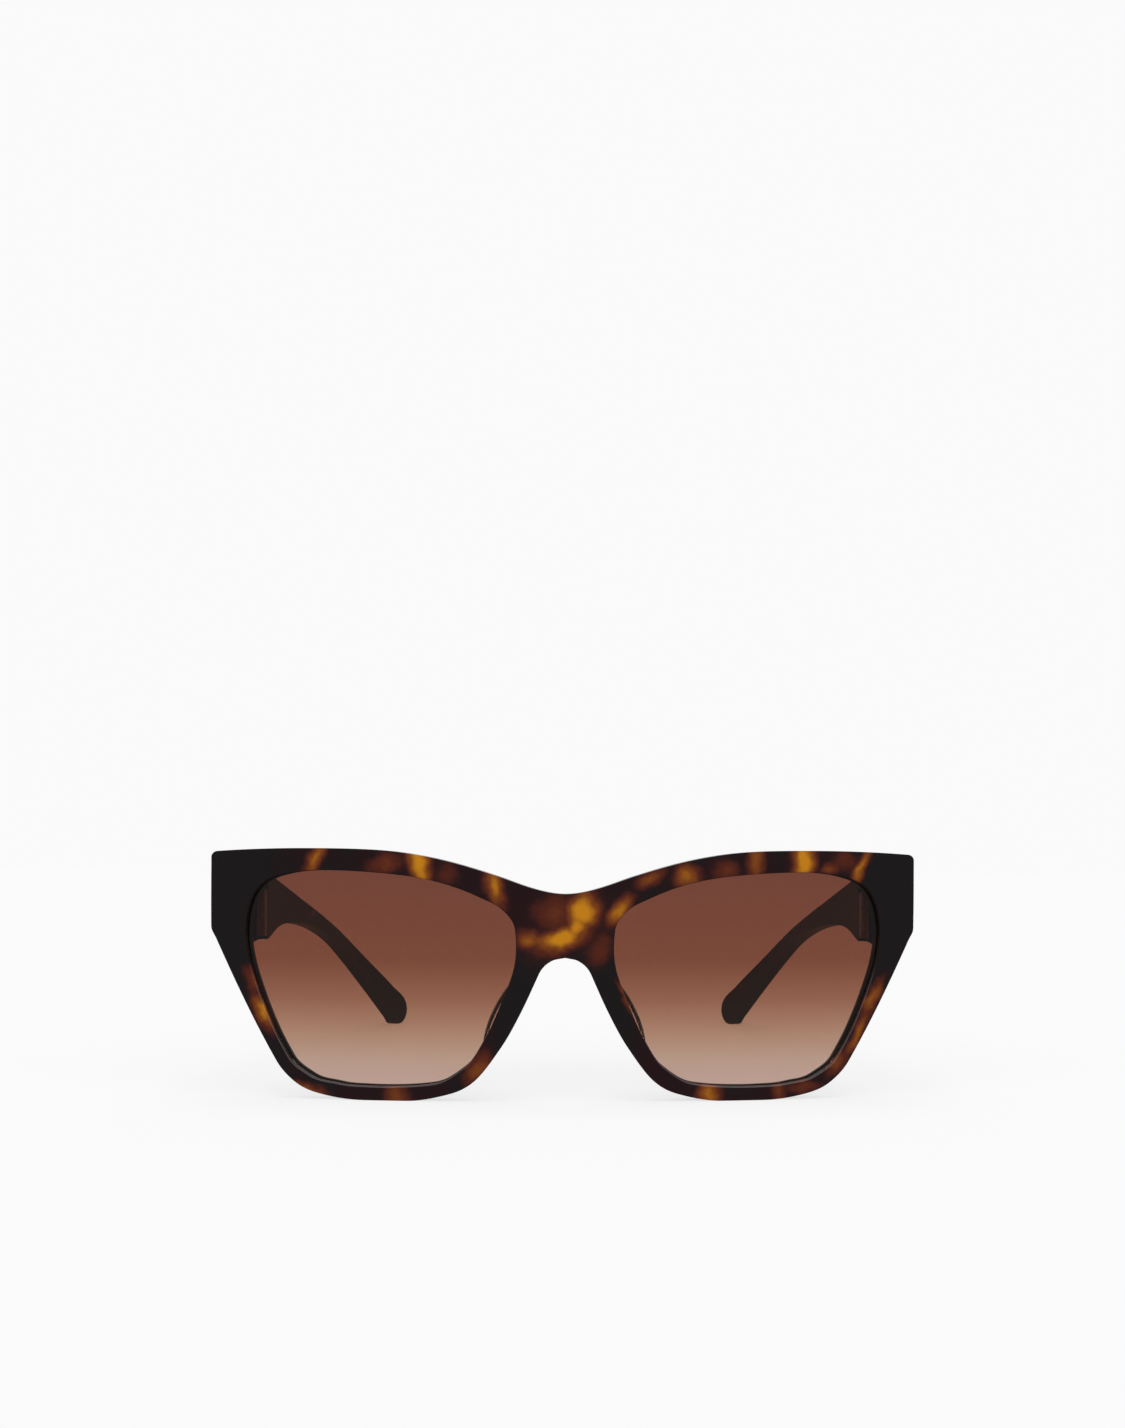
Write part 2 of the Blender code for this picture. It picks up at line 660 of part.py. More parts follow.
def main():
    clear_scene()
    front_acetate = make_material("front_acetate", (0.028, 0.012, 0.008), 0.12)
    temple_acetate = make_material("temple_acetate", (0.024, 0.011, 0.008), 0.12)
    tint = make_material("tinted_lens", (0.30, 0.14, 0.08), 0.03, transmission=0.8)
    clear = make_material("clear_acetate", (0.85, 0.82, 0.78), 0.1, transmission=0.9)
    hinge_steel = make_material("hinge_metal", (0.62, 0.60, 0.57), 0.25, metallic=1.0)
    screw_steel = make_material("screw_metal", (0.70, 0.69, 0.67), 0.22, metallic=1.0)
    core_steel = make_material("core_metal", (0.55, 0.54, 0.52), 0.35, metallic=1.0)
    build_front(front_acetate)
    for name, side in SIDES.items():
        pivot = bpy.data.objects.new(f"{name}_pivot", None)
        bpy.context.scene.collection.objects.link(pivot)
        pivot.location = Vector((side * hinge_x, hinge_y - centre_y, hinge_z)) * METRES_PER_MM
        build_lens(name, side, tint)
        build_nose_pad(name, side, clear)
        build_front_leaf(name, side, hinge_steel)
        build_screw(name, side, screw_steel)
        build_temple_leaf(name, side, hinge_steel, pivot)
        build_temple(name, side, temple_acetate, core_steel, pivot)


main()
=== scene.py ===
"""Cat-eye sunglasses standing open on a pale table: tortoise acetate, gradient lenses, knuckle hinges.

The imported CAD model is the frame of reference. The front, the lenses, the nose pads and the temples get
finer pieces here with the same sizes and places. The hinges, the screws and the wires keep their CAD
meshes and only get a finish. Sizes are in millimetres until a piece is finished. Left and right are the
wearer's, so left is at +X.
"""

import logging
import math
from collections.abc import Iterable, Sequence
from dataclasses import dataclass
from enum import Enum

import bmesh
import bpy
from bmesh.types import BMEdge, BMesh, BMFace, BMLayerItem, BMVert
from bpy.types import Material, Node, NodeSocket, Object
from mathutils import Matrix, Vector
from mathutils.geometry import interpolate_bezier

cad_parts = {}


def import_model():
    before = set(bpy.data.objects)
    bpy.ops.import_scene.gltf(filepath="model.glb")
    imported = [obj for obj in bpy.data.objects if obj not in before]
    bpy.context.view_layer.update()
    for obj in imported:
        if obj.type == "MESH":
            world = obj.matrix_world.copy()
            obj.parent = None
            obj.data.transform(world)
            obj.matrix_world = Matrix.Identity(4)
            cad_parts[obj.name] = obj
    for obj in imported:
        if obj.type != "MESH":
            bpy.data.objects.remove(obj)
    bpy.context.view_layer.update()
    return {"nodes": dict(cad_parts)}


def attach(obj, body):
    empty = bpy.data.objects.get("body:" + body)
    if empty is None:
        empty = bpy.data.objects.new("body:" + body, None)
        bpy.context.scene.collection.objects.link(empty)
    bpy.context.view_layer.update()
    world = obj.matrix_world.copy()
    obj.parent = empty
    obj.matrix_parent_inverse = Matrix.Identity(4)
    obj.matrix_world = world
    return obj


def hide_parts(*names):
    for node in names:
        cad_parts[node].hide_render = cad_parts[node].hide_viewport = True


LOG = logging.getLogger("sunglasses")

METRES_PER_MM = 0.001
SAME = 1e-4  # millimetres within which two points are one
FINER = 3  # steps of an outline here for each of its drawn steps
SHARP = math.radians(38)  # least turn of an edge that is shaded as a crease
CORNER = math.radians(60)  # least turn of an edge that gets rounded over

Anchor = tuple[float, float, float, int]
Colour = tuple[float, float, float]


class Side(Enum):
    """A side of the wearer, with its direction along x."""

    LEFT = 1
    RIGHT = -1

    @property
    def word(self) -> str:
        """The side's name as the nodes spell it."""
        return self.name.lower()


# Half of the front's outline, from the top of the bridge round to the top of the nose arch:
# x, z, heading in degrees, drawn steps to the next point
FRONT_OUTLINE: tuple[Anchor, ...] = (
    (0, 41.65, 0, 3),
    (7, 42.9, 16.5, 3),
    (14, 45.3, 17.5, 4),
    (25.2, 48.45, 12.5, 4),
    (38, 50.3, 3.5, 4),
    (52, 50.6, 0, 4),
    (71.0, 49.95, -4, 4),
    (72.3, 48.7, -90, 5),
    (72.25, 34.6, -91, 2),
    (71.2, 32.2, -115.5, 8),
    (58.3, 7.55, -121, 3),
    (54.1, 3.15, -144, 3),
    (48, 0.85, -168, 2),
    (40, 0, -180, 2),
    (32, 0, -180, 3),
    (22.5, 1.6, -196, 2),
    (17.1, 4.95, -227, 3),
    (13.1, 10.25, -235, 3),
    (9.04, 17.35, -243, 4),
    (5.2, 25.6, -245.5, 3),
    (0, 28.85, -180, 4),
)
# The lens opening, point for point opposite the outline above and the bridge's middle
OPENING_OUTLINE: tuple[Anchor, ...] = (
    (10.05, 34.4, 83, 4),
    (12.4, 38.2, 43, 3),
    (17.5, 41.0, 25, 4),
    (28.1, 44.45, 11.5, 4),
    (40, 45.85, 4, 4),
    (50, 46.15, -1, 3),
    (58.6, 44.9, -16, 4),
    (63.4, 41.0, -63, 3),
    (64.9, 34.3, -88, 4),
    (63.2, 24.6, -108.5, 4),
    (59.0, 14.2, -115.5, 4),
    (55.7, 8.3, -121.5, 3),
    (51.3, 4.8, -148, 3),
    (45.4, 3.3, -168, 2),
    (39.3, 2.85, -178, 2),
    (33, 2.9, -182, 3),
    (26, 3.55, -189.5, 3),
    (20.1, 6.85, -217, 3),
    (16.2, 12.2, -240, 4),
    (12.05, 21.45, -248, 5),
    (10.35, 26.3, -256, 4),
    (10.05, 34.4, -277, 0),
)
# The temple from the side, from the parting line back to the tip: y, z, heading, drawn steps
TEMPLE_TOP: tuple[Anchor, ...] = (
    (0, 45.6, -10, 6),
    (29, 40.3, -11, 5),
    (64, 33.1, -13, 4),
    (88, 26.9, -17, 4),
    (111.4, 18.0, -24.5, 3),
    (124.5, 11.3, -31, 4),
    (133.2, 3.6, -90, 0),
)
TEMPLE_BOTTOM: tuple[Anchor, ...] = (
    (0, 31.6, 6, 3),
    (11, 33.6, 8, 2),
    (24, 34.0, -2, 3),
    (48, 32.1, -7.5, 4),
    (70, 28.0, -13.5, 4),
    (90, 21.75, -21, 4),
    (110, 12.0, -30.5, 2),
    (124.4, 2.35, -36, 1),
    (127.6, 0.0, 0, 1),
    (128.9, 0.0, 0, 2),
    (133.2, 3.4, 80, 0),
)
# The temple's inner face from above: y, x inwards from its front end, heading, drawn steps
TEMPLE_PLAN: tuple[Anchor, ...] = (
    (0, 0, 0, 2),
    (11, 0.1, 1, 5),
    (82.4, 3.6, 4, 4),
    (110, 7.7, 13.5, 4),
    (133.2, 15.1, 21.5, 0),
)


@dataclass(frozen=True)
class Layout:
    """Places that several pieces share, in millimetres, with y = 0 at the front of the bridge."""

    wrap_radius: float = 300.0
    front_thickness: float = 3.8
    temple_thickness: float = 4.0
    tip_thickness: float = 3.0
    endpiece_depth: float = 4.2
    endpiece_overhang: float = 0.2
    hinge_inset: float = 9.2
    hinge_z: float = 37.0
    axis_to_parting: float = 1.4
    axis_to_inner_face: float = 1.0
    parting_gap: float = 0.15
    knuckle_radius: float = 1.15
    knuckle_length: float = 3.1
    centre_y: float = 74.736

    @property
    def hinge_x(self) -> float:
        """The hinge axis's distance from the middle."""
        return FRONT_OUTLINE[7][0] - self.hinge_inset

    @property
    def temple_x(self) -> float:
        """The temple's inner face at the hinge."""
        return self.hinge_x - self.axis_to_inner_face

    @property
    def endpiece_x(self) -> float:
        """The endpiece's outer face."""
        return self.temple_x + self.temple_thickness + self.endpiece_overhang

    @property
    def parting_y(self) -> float:
        """The plane where the endpiece ends."""
        sagitta = self.wrap_radius - math.sqrt(self.wrap_radius**2 - self.endpiece_x**2)
        return sagitta + self.front_thickness + self.endpiece_depth

    @property
    def hinge_y(self) -> float:
        """The hinge axis's depth."""
        return self.parting_y - self.axis_to_parting

    @property
    def temple_y(self) -> float:
        """The temple's front end."""
        return self.parting_y + self.parting_gap

    @property
    def hinge_half(self) -> float:
        """Half the hinge's height."""
        return 1.5 * self.knuckle_length

    def wrapped(self, point: Vector) -> Vector:
        """Bends a point of the flat front round the wearer's face.

        Args:
            point: the flat point, with its depth in y.

        Returns:
            The point on the bent front, its x kept on the front face.
        """
        angle = math.asin(point.x / self.wrap_radius)
        radius = self.wrap_radius - point.y
        return Vector((radius * math.sin(angle), self.wrap_radius - radius * math.cos(angle), point.z))


LAYOUT = Layout()


# ---------------------------------------------------------------- outlines and mesh helpers


def traced(anchors: Sequence[Anchor], finer: int = FINER) -> list[Vector]:
    """Points on the smooth line through an outline's anchors.

    Args:
        anchors: each point's place, heading and drawn steps to the next one.
        finer: steps made here for each drawn step.

    Returns:
        The points, in the xz plane.
    """
    points = [Vector((anchors[0][0], 0, anchors[0][1]))]
    for (x0, z0, heading0, steps), (x1, z1, heading1, _) in zip(anchors, anchors[1:]):
        start, end = Vector((x0, 0, z0)), Vector((x1, 0, z1))
        turn = math.radians(heading1 - heading0)
        reach = (end - start).length / (3 * math.cos(turn / 4) ** 2)
        angles = math.radians(heading0), math.radians(heading1)
        ways = [Vector((math.cos(angle), 0, math.sin(angle))) for angle in angles]
        curve = interpolate_bezier(
            start, start + reach * ways[0], end - reach * ways[1], end, steps * finer + 1
        )
        points += curve[1:]
    return points


def grown(loop: Sequence[Vector], distance: float) -> list[Vector]:
    """A clockwise closed loop in the xz plane, moved outwards by distance."""
    moved = []
    for before, point, after in zip(loop[-1:] + loop[:-1], loop, loop[1:] + loop[:1]):
        way = after - before
        moved.append(point + distance * Vector((-way.z, 0, way.x)).normalized())
    return moved


def add_line(bm: BMesh, points: Sequence[Vector], closed: bool) -> list[BMEdge]:
    """Adds a chain of edges through points.

    Args:
        bm: the mesh that gets them.
        points: the places, in order.
        closed: whether the last point joins the first.

    Returns:
        The new edges, in order.
    """
    verts = [bm.verts.new(point) for point in points]
    ends = verts[1:] + verts[:1] if closed else verts[1:]
    return [bm.edges.new(pair) for pair in zip(verts, ends)]


def only(kind: type, geom: Iterable) -> list:
    """The items of one kind in what an operator returns."""
    return [item for item in geom if isinstance(item, kind)]


def thicken(bm: BMesh, faces: Sequence[BMFace], depth: float) -> list[BMVert]:
    """Extrudes faces along +Y and returns the new vertices."""
    made = bmesh.ops.extrude_face_region(bm, geom=list(faces))["geom"]
    verts = only(BMVert, made)
    bmesh.ops.translate(bm, verts=verts, vec=(0, depth, 0))
    return verts


def round_over(bm: BMesh, edges: Sequence[BMEdge], radius: float, segments: int) -> None:
    """Rounds edges over with the bevel operator."""
    bmesh.ops.bevel(
        bm,
        geom=list(edges),
        offset=radius,
        segments=segments,
        profile=0.5,
        affect="EDGES",
        clamp_overlap=True,
        material=-1,
    )


def cuboid(low: Sequence[float], high: Sequence[float]) -> BMesh:
    """A box between two corners."""
    bm = bmesh.new()
    bmesh.ops.create_cube(bm, size=1)
    size = [top - bottom for bottom, top in zip(low, high)]
    middle = [(top + bottom) / 2 for bottom, top in zip(low, high)]
    bmesh.ops.scale(bm, verts=bm.verts, vec=size)
    bmesh.ops.translate(bm, verts=bm.verts, vec=middle)
    return bm


def creases(bm: BMesh, least: float = SHARP) -> list[BMEdge]:
    """The edges whose two faces meet at more than an angle."""
    return [edge for edge in bm.edges if edge.is_manifold and edge.calc_face_angle() > least]


def on_side(bm: BMesh, side: Side) -> BMesh:
    """The same mesh on the wearer's left or right."""
    bmesh.ops.scale(bm, verts=bm.verts, vec=(side.value, 1, 1))
    return bm


def finished(name: str, bm: BMesh) -> Object:
    """Turns a drawn mesh into an object in metres, centred on the origin in x and y.

    Args:
        name: the object's name.
        bm: the mesh in millimetres, which is freed.

    Returns:
        The object, at the origin, unturned and unscaled.
    """
    bmesh.ops.remove_doubles(bm, verts=bm.verts, dist=SAME)
    bmesh.ops.recalc_face_normals(bm, faces=bm.faces)
    if bm.calc_volume(signed=True) < 0:
        bmesh.ops.reverse_faces(bm, faces=bm.faces)
    bm.transform(Matrix.Scale(METRES_PER_MM, 4) @ Matrix.Translation((0, -LAYOUT.centre_y, 0)))
    mesh = bpy.data.meshes.new(name)
    bm.to_mesh(mesh)
    bm.free()
    obj = bpy.data.objects.new(name, mesh)
    bpy.context.scene.collection.objects.link(obj)
    shade_creased(obj)
    return obj


def shade_creased(obj: Object) -> None:
    """Shades an object smooth, with its creases kept sharp."""
    obj.data.shade_smooth()
    obj.data.set_sharp_from_angle(angle=SHARP)


def combine(obj: Object, tool: Object, operation: str) -> None:
    """Applies a Boolean and removes its tool.

    Args:
        obj: the object that changes.
        tool: the object that is joined to it or cut from it.
        operation: UNION or DIFFERENCE.
    """
    modifier = obj.modifiers.new(tool.name, "BOOLEAN")
    modifier.object = tool
    modifier.operation = operation
    modifier.solver = "EXACT"
    evaluated = obj.evaluated_get(bpy.context.evaluated_depsgraph_get())
    old, mesh = obj.data, bpy.data.meshes.new_from_object(evaluated)
    obj.modifiers.clear()
    obj.data = mesh
    bpy.data.meshes.remove(old)
    mesh.name = obj.name
    bpy.data.objects.remove(tool)
    shade_creased(obj)


def even_normals(obj: Object) -> None:
    """Lets an object's large faces keep their own direction right up to its rounded edges."""
    modifier = obj.modifiers.new("even_normals", "WEIGHTED_NORMAL")
    modifier.mode = "FACE_AREA"
    modifier.weight = 50
    modifier.keep_sharp = True


def mount(obj: Object, node: str, body: str, material: Material) -> Object:
    """Puts a piece in the place of its CAD node.

    Args:
        obj: the piece.
        node: the CAD node it stands for.
        body: the body it rides on.
        material: its finish.

    Returns:
        The piece.
    """
    obj.data.materials.clear()
    obj.data.materials.append(material)
    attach(obj, body)
    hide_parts(node)
    LOG.info("%s: %d faces, rides on %s", obj.name, len(obj.data.polygons), body)
    return obj


# ---------------------------------------------------------------- finishes


class Nodes:
    """A material or world node tree that is written as a chain of calls."""

    def __init__(self, tree: bpy.types.NodeTree) -> None:
        """Starts on a tree and empties it."""
        self.tree = tree
        tree.nodes.clear()

    def add(self, kind: str, settings: dict | None = None, **inputs) -> Node:
        """Adds a node.

        Args:
            kind: the node's type.
            settings: its properties.
            inputs: values or sockets for its inputs, by name with _ for a blank, or _0 for a number.

        Returns:
            The node.
        """
        node = self.tree.nodes.new(kind)
        for key, value in (settings or {}).items():
            setattr(node, key, value)
        for key, value in inputs.items():
            index = int(key[1:]) if key[0] == "_" else key.replace("_", " ")
            if isinstance(value, NodeSocket):
                self.tree.links.new(value, node.inputs[index])
            else:
                node.inputs[index].default_value = value
        return node

    def math(self, operation: str, *values: float | NodeSocket) -> NodeSocket:
        """The result of a Math node."""
        inputs = {f"_{number}": value for number, value in enumerate(values)}
        return self.add("ShaderNodeMath", {"operation": operation}, **inputs).outputs[0]

    def vector(self, operation: str, *values: Sequence[float] | NodeSocket) -> Node:
        """A Vector Math node."""
        inputs = {f"_{number}": value for number, value in enumerate(values)}
        return self.add("ShaderNodeVectorMath", {"operation": operation}, **inputs)

    def eased(self, value: NodeSocket, low: float, high: float) -> NodeSocket:
        """0 at low and 1 at high, with a smooth step between them."""
        settings = {"interpolation_type": "SMOOTHSTEP"}
        node = self.add("ShaderNodeMapRange", settings, Value=value, From_Min=low, From_Max=high)
        return node.outputs["Result"]

    def mixed(self, share: NodeSocket, first: Colour | NodeSocket, second: Colour | NodeSocket) -> NodeSocket:
        """A colour between two."""
        node = self.add("ShaderNodeMix", {"data_type": "RGBA"}, _0=share)
        for index, colour in ((6, first), (7, second)):
            if isinstance(colour, NodeSocket):
                self.tree.links.new(colour, node.inputs[index])
            else:
                node.inputs[index].default_value = (*colour, 1)
        return node.outputs[2]

    def ramp(self, share: NodeSocket, stops: Sequence[tuple[float, Colour]]) -> NodeSocket:
        """A colour from a ramp.

        Args:
            share: where on the ramp.
            stops: each stop's place and colour, in order.

        Returns:
            The colour.
        """
        node = self.add("ShaderNodeValToRGB", Fac=share)
        elements = node.color_ramp.elements
        elements[0].position, elements[0].color = stops[0][0], (*stops[0][1], 1)
        elements[1].position, elements[1].color = stops[-1][0], (*stops[-1][1], 1)
        for place, colour in stops[1:-1]:
            elements.new(place).color = (*colour, 1)
        return node.outputs["Color"]

    def noise(self, vector: NodeSocket, scale: float, detail: float = 2.0) -> Node:
        """A noise texture read at a place in millimetres."""
        return self.add("ShaderNodeTexNoise", Vector=vector, Scale=scale, Detail=detail)

    def place_mm(self) -> NodeSocket:
        """The place on the piece, in millimetres."""
        coordinates = self.add("ShaderNodeTexCoord").outputs["Object"]
        node = self.vector("SCALE", coordinates)
        node.inputs["Scale"].default_value = 1 / METRES_PER_MM
        return node.outputs[0]

    def clear_sheet(self, tint: NodeSocket, ior: float, roughness: float) -> NodeSocket:
        """A thin clear sheet that passes tinted light and mirrors the rest.

        Args:
            tint: the colour that passes through one face.
            ior: its index of refraction, which sets how much it mirrors.
            roughness: the mirror's roughness.

        Returns:
            The shader.
        """
        through = self.add("ShaderNodeBsdfTransparent", Color=tint)
        mirror = self.add("ShaderNodeBsdfGlossy", Color=(1, 1, 1, 1), Roughness=roughness)
        fresnel = self.add("ShaderNodeFresnel", IOR=ior)
        return self.add(
            "ShaderNodeMixShader",
            _0=fresnel.outputs[0],
            _1=through.outputs[0],
            _2=mirror.outputs[0],
        ).outputs[0]


def new_material(name: str) -> tuple[Material, Nodes]:
    """An empty material and its nodes."""
    material = bpy.data.materials.new(name)
    material.use_nodes = True
    return material, Nodes(material.node_tree)


@dataclass(frozen=True)
class Patch:
    """A soft translucent patch in the acetate, seen from the front, in millimetres."""

    x: float
    z: float
    width: float
    height: float
    tilt: float = 0.0
    strength: float = 1.0


# The front's amber clouds, from the wearer's right to the left
FRONT_PATCHES = (
    Patch(-63.7, 23.6, 2.0, 4.2, -26, 0.42),
    Patch(-61.0, 17.4, 2.0, 5.2, -30, 0.8),
    Patch(-50.6, 48.6, 1.9, 6.2, 26, 0.72),
    Patch(-52.2, 1.7, 5.6, 1.9, 8, 0.6),
    Patch(-33.4, 1.0, 3.6, 3.6, 0, 0.5),
    Patch(-36.0, 47.6, 5.6, 3.0, -14, 0.42),
    Patch(-29.2, 47.4, 2.6, 7.4, -12, 0.94),
    Patch(-23.6, 45.6, 3.6, 4.0, 0, 0.32),
    Patch(-17.2, 6.6, 3.0, 5.0, 25, 0.55),
    Patch(-14.4, 43.2, 2.2, 5.8, -10, 0.8),
    Patch(-13.2, 40.2, 2.6, 2.4, 30, 0.5),
    Patch(-7.3, 32.6, 3.0, 2.8, 20, 0.68),
    Patch(-4.2, 32.2, 5.0, 2.2, 0, 0.62),
    Patch(-0.6, 32.5, 6.4, 3.2, -22, 1.0),
    Patch(-2.0, 37.8, 6.0, 5.4, 10, 0.42),
    Patch(3.4, 38.3, 3.8, 4.6, 24, 1.0),
    Patch(2.4, 35.1, 2.6, 3.8, 20, 0.9),
    Patch(6.8, 30.2, 3.6, 5.4, 24, 0.36),
    Patch(10.8, 38.4, 2.2, 4.6, 40, 0.78),
    Patch(17.0, 45.0, 4.0, 2.2, -30, 0.55),
    Patch(24.6, 45.2, 3.6, 3.4, 48, 0.7),
    Patch(32.2, 46.8, 4.0, 3.0, 10, 0.42),
    Patch(38.4, 48.4, 2.3, 6.6, 0, 0.62),
    Patch(48.5, 48.6, 2.9, 7.0, 0, 0.98),
    Patch(54.2, 46.9, 3.0, 1.7, -20, 0.5),
    Patch(60.8, 47.4, 1.4, 6.6, 28, 0.74),
    Patch(57.4, 48.6, 4.4, 3.2, 0, 0.36),
    Patch(63.4, 20.4, 1.5, 5.8, 28, 0.66),
    Patch(60.2, 13.2, 1.3, 6.6, 28, 0.66),
    Patch(56.0, 7.2, 2.2, 4.6, 38, 0.5),
    Patch(48.6, 2.4, 5.4, 2.0, 0, 0.4),
    Patch(43.6, 1.8, 2.0, 4.0, 0, 0.45),
    Patch(29.4, 1.5, 2.9, 5.0, 0, 0.72),
    Patch(12.2, 21.0, 0.9, 4.6, -24, 0.5),
)


@dataclass(frozen=True)
class Tortoise:
    """Polished tortoise acetate: dark clouds over red-brown, with amber where the sheet is clear."""

    name: str
    patches: tuple[Patch, ...] = ()
    cloud_share: float = 0.0
    dark: Colour = (0.0041, 0.0035, 0.0037)
    plum: Colour = (0.0085, 0.0018, 0.0026)
    red: Colour = (0.050, 0.0088, 0.0038)
    brown: Colour = (0.125, 0.033, 0.003)
    amber: Colour = (0.33, 0.128, 0.003)
    roughness: float = 0.11
    polish_range: float = 0.05
    ripple: tuple[float, float, float] = (2.6, 2.6, 3.2)
    streak: float = 0.10
    core_reach: float = 1.25
    halo_reach: float = 2.6
    halo_core: float = 0.6
    halo_share: float = 0.2
    blend: float = 0.12
    clear_places: tuple[float, float, float, float] = (0.10, 0.36, 0.62, 0.9)
    clear_start: float = 0.04
    clear_full: float = 0.3

    def patch_field(self, nodes: Nodes, place: NodeSocket) -> NodeSocket:
        """How clear the sheet is at a place, from 0 to 1, by its patches.

        Args:
            nodes: the material's nodes.
            place: the place in millimetres.

        Returns:
            The strongest patch's share.
        """
        field: NodeSocket | None = None
        for patch in self.patches:
            mapping = nodes.add(
                "ShaderNodeMapping",
                {"vector_type": "TEXTURE"},
                Vector=place,
                Location=(patch.x, 0, patch.z),
                Rotation=(0, math.radians(patch.tilt), 0),
                Scale=(patch.width, 1000, patch.height),
            )
            distance = nodes.vector("LENGTH", mapping.outputs[0]).outputs["Value"]
            core = nodes.eased(distance, self.core_reach, 0.0)
            halo = nodes.eased(distance, self.halo_reach, self.halo_core)
            halo_part = nodes.math("MULTIPLY", halo, self.halo_share * patch.strength)
            core_strength = (1 - self.halo_share) * patch.strength
            share = nodes.math("MULTIPLY_ADD", core, core_strength, halo_part)
            field = share if field is None else nodes.math("SMOOTH_MAX", field, share, self.blend)
        return field

    def plum_share(self, nodes: Nodes, place: NodeSocket) -> float | NodeSocket:
        """How far the ground turns plum: least at the outer corners and beside the nose."""
        if not self.patches:
            return 0.8
        parts = nodes.add("ShaderNodeSeparateXYZ", Vector=place)
        across = nodes.math("ABSOLUTE", parts.outputs["X"])
        inside = nodes.eased(across, 62.0, 50.0)
        near_middle = nodes.eased(across, 17.0, 12.0)
        below_bridge = nodes.eased(parts.outputs["Z"], 33.0, 27.0)
        beside_nose = nodes.math("MULTIPLY", near_middle, below_bridge)
        return nodes.math("MULTIPLY", inside, nodes.math("SUBTRACT", 1.0, beside_nose))

    def cloud_field(self, nodes: Nodes, place: NodeSocket) -> NodeSocket:
        """Clouds without set places, drawn out along the length of the piece."""
        mapping = nodes.add("ShaderNodeMapping", Vector=place, Scale=(0.07, 0.045, 0.11))
        clouds = nodes.noise(mapping.outputs[0], 1.0, 3.0).outputs["Fac"]
        low = 0.72 - 0.3 * self.cloud_share
        return nodes.eased(clouds, low, low + 0.17)

    def material(self) -> Material:
        """The finished material."""
        material, nodes = new_material(self.name)
        place = nodes.place_mm()
        wobble = nodes.noise(place, 0.24, 2.5).outputs["Color"]
        centred = nodes.vector("SUBTRACT", wobble, (0.5, 0.5, 0.5)).outputs[0]
        shifted = nodes.vector("MULTIPLY_ADD", centred, self.ripple, place).outputs[0]
        field = (
            self.patch_field(nodes, shifted) if self.patches else self.cloud_field(nodes, shifted)
        )
        mottle = nodes.noise(place, 0.11, 3.0).outputs["Fac"]
        mottled = nodes.eased(mottle, 0.30, 0.58)
        base = nodes.math("MULTIPLY", mottled, self.plum_share(nodes, place))
        grain = nodes.noise(place, 1.4, 3.0).outputs["Fac"]
        streak = nodes.math("MULTIPLY_ADD", grain, self.streak, -self.streak / 2)
        level = nodes.math("ADD", field, streak)
        ground = nodes.mixed(base, self.dark, self.plum)
        shades = (self.plum, self.red, self.brown, self.amber)
        clear = nodes.ramp(level, tuple(zip(self.clear_places, shades)))
        shown = nodes.eased(level, self.clear_start, self.clear_full)
        colour = nodes.mixed(shown, ground, clear)
        polish = nodes.noise(place, 0.5, 4.0).outputs["Fac"]
        least = self.roughness - self.polish_range / 2
        roughness = nodes.math("MULTIPLY_ADD", polish, self.polish_range, least)
        shader = nodes.add(
            "ShaderNodeBsdfPrincipled",
            Base_Color=colour,
            Roughness=roughness,
            IOR=1.49,
            Specular_IOR_Level=0.30,
        )
        nodes.add("ShaderNodeOutputMaterial", Surface=shader.outputs[0])
        return material


@dataclass(frozen=True)
class GradientTint:
    """A thin sunglass lens, dark brown at the top and pale at the bottom."""

    name: str = "brown_gradient"
    ior: float = 1.5
    roughness: float = 0.03
    low_z: float = 2.0
    high_z: float = 48.0
    stops: tuple[tuple[float, Colour], ...] = (
        (0.0, (0.60, 0.42, 0.36)),
        (0.13, (0.53, 0.355, 0.272)),
        (0.26, (0.43, 0.235, 0.155)),
        (0.40, (0.30, 0.126, 0.075)),
        (0.57, (0.205, 0.066, 0.036)),
        (1.0, (0.172, 0.053, 0.033)),
    )

    def material(self) -> Material:
        """The finished material."""
        material, nodes = new_material(self.name)
        place = nodes.add("ShaderNodeTexCoord").outputs["Object"]
        height = nodes.add("ShaderNodeSeparateXYZ", Vector=place).outputs["Z"]
        low, high = self.low_z * METRES_PER_MM, self.high_z * METRES_PER_MM
        share = nodes.add("ShaderNodeMapRange", Value=height, From_Min=low, From_Max=high)
        half_passed = [
            (where, tuple(math.sqrt(part) for part in colour)) for where, colour in self.stops
        ]
        tint = nodes.ramp(share.outputs["Result"], half_passed)
        sheet = nodes.clear_sheet(tint, self.ior, self.roughness)
        nodes.add("ShaderNodeOutputMaterial", Surface=sheet)
        return material


@dataclass(frozen=True)
class ClearAcetate:
    """Clear polished acetate, faintly warm."""

    name: str = "clear_acetate"
    tint: Colour = (0.97, 0.95, 0.92)
    edge_tint: Colour = (0.55, 0.49, 0.43)
    edge_start: float = 0.86
    ior: float = 1.49
    roughness: float = 0.06

    def material(self) -> Material:
        """The finished material."""
        material, nodes = new_material(self.name)
        edge = nodes.add("ShaderNodeLayerWeight", Blend=0.42).outputs["Facing"]
        deep = nodes.eased(edge, self.edge_start, 1.0)
        colour = nodes.mixed(deep, self.tint, self.edge_tint)
        sheet = nodes.clear_sheet(colour, self.ior, self.roughness)
        nodes.add("ShaderNodeOutputMaterial", Surface=sheet)
        return material


